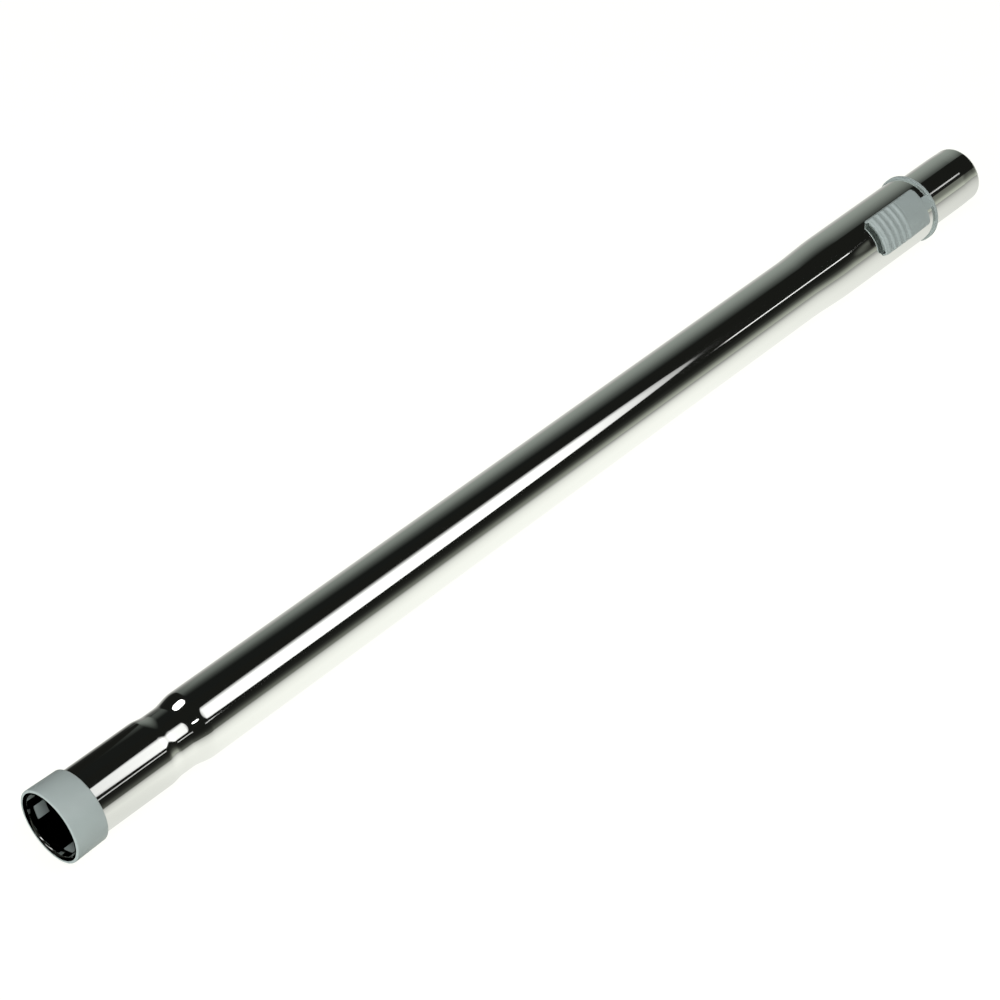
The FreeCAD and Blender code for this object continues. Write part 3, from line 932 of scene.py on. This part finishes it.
def softbox_material(centre):
    """Painted highlight of the round softbox, dimmer towards its rim, its two ends and its upper side."""
    material, tree, light = glow_material("softbox_cloth")
    offset = add_node(tree, "ShaderNodeVectorMath", operation="SUBTRACT")
    offset.inputs[1].default_value = centre
    tree.links.new(object_axes(tree), offset.inputs[0])
    reach = add_node(tree, "ShaderNodeVectorMath", operation="LENGTH")
    tree.links.new(offset.outputs["Vector"], reach.inputs[0])
    rim = ramp(tree, calculate(tree, "DIVIDE", reach.outputs["Value"], SOFTBOX_RADIUS), SOFTBOX_RIM)
    axes = split_axes(tree)
    ends = ramp(tree, calculate(tree, "DIVIDE", axes["X"], SOFTBOX_LENGTH), SOFTBOX_ENDS)
    upper = ramp(tree, calculate(tree, "MULTIPLY", axes["Y"], -1.0), SOFTBOX_UPPER)
    level = calculate(tree, "MULTIPLY", rim, upper)
    tree.links.new(calculate(tree, "MULTIPLY", level, ends), light.inputs["Strength"])
    return material


def strip_material(name, start, end, first, last):
    """Painted highlight of a strip lamp, whose light changes from its left end to its right end."""
    material, tree, light = glow_material(name)
    spread = add_node(tree, "ShaderNodeMapRange")
    for socket, value in (("From Min", start), ("From Max", end), ("To Min", first), ("To Max", last)):
        spread.inputs[socket].default_value = value
    tree.links.new(split_axes(tree)["X"], spread.inputs["Value"])
    tree.links.new(spread.outputs["Result"], light.inputs["Strength"])
    return material


def facing_wand(bm, centre):
    """Lays a flat mesh at its place, level with the wand and facing its axis."""
    lean = math.atan2(centre[1], centre[2])
    turn_mesh(bm, -lean)
    bmesh.ops.translate(bm, verts=bm.verts, vec=centre)


def aimed(piece, spot, target):
    piece.location = spot
    piece.rotation_mode = "QUATERNION"
    piece.rotation_quaternion = (Vector(target) - Vector(spot)).to_track_quat("-Z", "Y")


def add_lamp(name, spot, target, radiance, size):
    """A round area lamp whose face shines with the given radiance."""
    data = bpy.data.lights.new(name, "AREA")
    data.shape = "ELLIPSE"
    data.size, data.size_y = size
    area = size[0] * size[1] * (math.pi / 4.0)
    data.energy = radiance * area * math.pi
    lamp = bpy.data.objects.new(name, data)
    bpy.context.scene.collection.objects.link(lamp)
    aimed(lamp, spot, target)
    lamp.visible_camera = False
    return lamp


class WAND_OT_stage(bpy.types.Operator):
    """Lays the wand on white paper, with its lamps, the painted reflections of its dark surroundings and the
    camera
    """

    bl_idname = "wand.stage"
    bl_label = "Stage, Light and Camera"

    def execute(self, context):
        scene = context.scene
        studio = scene.wand_studio
        scene.view_settings.view_transform = "Standard"
        floor = cad_box[0].z
        self.add_surroundings(floor)
        self.add_world(scene)
        wand_middle = (0.3, 0.0, 0.0)
        mouth = (0.0, 0.0, 0.0)
        socket = (0.08, 0.0, 0.0)
        key = add_lamp("key_lamp", studio.key_lamp, wand_middle, radiance=3.5, size=(0.81, 0.81))
        inside = add_lamp("mouth_lamp", studio.mouth_lamp, mouth, radiance=42.0, size=(0.5, 0.5))
        # The chrome doesn't show these two
        for lamp in (key, inside):
            lamp.visible_glossy = False
        self.add_lamp_faces(studio)
        add_lamp("back_lamp", studio.back_lamp, socket, radiance=3.0, size=(0.27, 0.5))
        add_lamp("small_lamp", studio.small_lamp, socket, radiance=6.0, size=(0.08, 0.08))
        data = bpy.data.cameras.new("camera")
        data.lens = studio.lens
        data.sensor_width = SENSOR_WIDTH
        data.clip_start = 0.01
        data.clip_end = 50.0
        camera = bpy.data.objects.new("camera", data)
        scene.collection.objects.link(camera)
        aimed(camera, studio.eye, studio.aim)
        scene.camera = camera
        return {"FINISHED"}

    def add_surroundings(self, floor):
        """The paper, and the painted reflections of the dark canopy over it and the grey card behind."""
        bm = bmesh.new()
        bmesh.ops.create_circle(bm, cap_ends=True, segments=64, radius=FLOOR_RADIUS)
        bmesh.ops.translate(bm, verts=bm.verts, vec=(0.0, 0.0, floor))
        stage_piece("paper_floor", bm, paper_material())
        bm = bmesh.new()
        bmesh.ops.create_uvsphere(bm, u_segments=64, v_segments=32, radius=CANOPY_RADIUS)
        bmesh.ops.bisect_plane(
            bm, geom=bm.verts[:] + bm.edges[:] + bm.faces[:], plane_co=(0, 0, floor), plane_no=(0, 0, -1),
            clear_outer=True,
        )
        only_in_reflections(stage_piece("dark_surroundings", bm, canopy_material()))
        bm = bmesh.new()
        bmesh.ops.create_grid(bm, x_segments=1, y_segments=1, size=0.5)
        turn_mesh(bm, math.pi / 2)
        long_side, high_side = CARD_SIZE
        bmesh.ops.scale(bm, verts=bm.verts, vec=(long_side, 1.0, high_side))
        bmesh.ops.translate(bm, verts=bm.verts, vec=(*CARD_PLACE, high_side / 2 + floor))
        only_in_reflections(stage_piece("back_card", bm, back_card_material()))

    def add_lamp_faces(self, studio):
        """Painted highlights of the lamps, which only the chrome shows and which light nothing."""
        bm = bmesh.new()
        shape = Matrix.Rotation(SOFTBOX_TURN, 4, "Z") @ Matrix.Diagonal((1.0, SOFTBOX_NARROW, 1.0, 1.0))
        bmesh.ops.create_circle(bm, cap_ends=True, segments=96, radius=SOFTBOX_RADIUS, matrix=shape)
        facing_wand(bm, studio.softbox)
        only_in_reflections(stage_piece("softbox_face", bm, softbox_material(studio.softbox)))
        for name, centre, reach, width, first, last in (
            ("strip_face", studio.strip, 0.19, 0.05, 1.15, 1.15),
            ("far_strip_face", studio.far_strip, 0.06, 0.05, 0.7, 0.7),
            ("dim_strip_face", studio.dim_strip, 0.31, 0.035, 0.7, 0.9),
            ("long_lamp_face", studio.long_lamp, 1.9, 0.22, 0.9, 0.9),
            ("long_back_lamp_face", studio.long_back_lamp, 1.9, 0.22, 0.9, 0.9),
        ):
            bm = bmesh.new()
            shape = Matrix.Diagonal((reach, width, 1.0, 1.0))
            bmesh.ops.create_grid(bm, x_segments=1, y_segments=1, size=0.5, matrix=shape)
            facing_wand(bm, centre)
            start = centre[0] - reach / 2
            shine = strip_material(name, start, start + reach, first, last)
            only_in_reflections(stage_piece(name, bm, shine))

    def add_world(self, scene):
        """White to the camera and in reflections, and a quiet fill light for everything else."""
        world = bpy.data.worlds.new("white_room")
        scene.world = world
        world.use_nodes = True
        tree = world.node_tree
        background = tree.nodes["Background"]
        background.inputs["Color"].default_value = (1.0, 1.0, 1.0, 1.0)
        path = add_node(tree, "ShaderNodeLightPath")
        seen = calculate(tree, "MAXIMUM", path.outputs["Is Camera Ray"], path.outputs["Is Glossy Ray"])
        seen = calculate(tree, "MAXIMUM", seen, path.outputs["Is Transmission Ray"])
        gain = calculate(tree, "MULTIPLY", seen, 1.0 - WORLD_FILL)
        tree.links.new(calculate(tree, "ADD", gain, WORLD_FILL), background.inputs["Strength"])


class WAND_PT_builder(bpy.types.Panel):
    """Lists the steps that dress the wand"""

    bl_idname = "WAND_PT_builder"
    bl_label = "Vacuum Wand"
    bl_space_type = "VIEW_3D"
    bl_region_type = "UI"
    bl_category = "Wand"

    def draw(self, context):
        column = self.layout.column(align=True)
        for operator in OPERATORS:
            column.operator(operator.bl_idname)


SETTINGS = {
    "wand_tube": TubeSizes,
    "wand_collar": CollarSizes,
    "wand_button": ButtonSizes,
    "wand_spring": SpringSizes,
    "wand_colours": WandColours,
    "wand_studio": StudioPlaces,
}
OPERATORS = (
    WAND_OT_finishes, WAND_OT_outer_tube, WAND_OT_collar, WAND_OT_button, WAND_OT_spring, WAND_OT_stage,
)


def register():
    for item in (*SETTINGS.values(), *OPERATORS, WAND_PT_builder):
        bpy.utils.register_class(item)
    for name, group in SETTINGS.items():
        setattr(bpy.types.Scene, name, PointerProperty(type=group))


def unregister():
    for name in SETTINGS:
        delattr(bpy.types.Scene, name)
    for item in (WAND_PT_builder, *reversed(OPERATORS), *SETTINGS.values()):
        bpy.utils.unregister_class(item)


def main():
    register()
    bpy.ops.wand.finishes()
    bpy.ops.wand.outer_tube()
    bpy.ops.wand.collar()
    bpy.ops.wand.button()
    bpy.ops.wand.spring()
    bpy.ops.wand.stage()


if __name__ == "__main__":
    main()
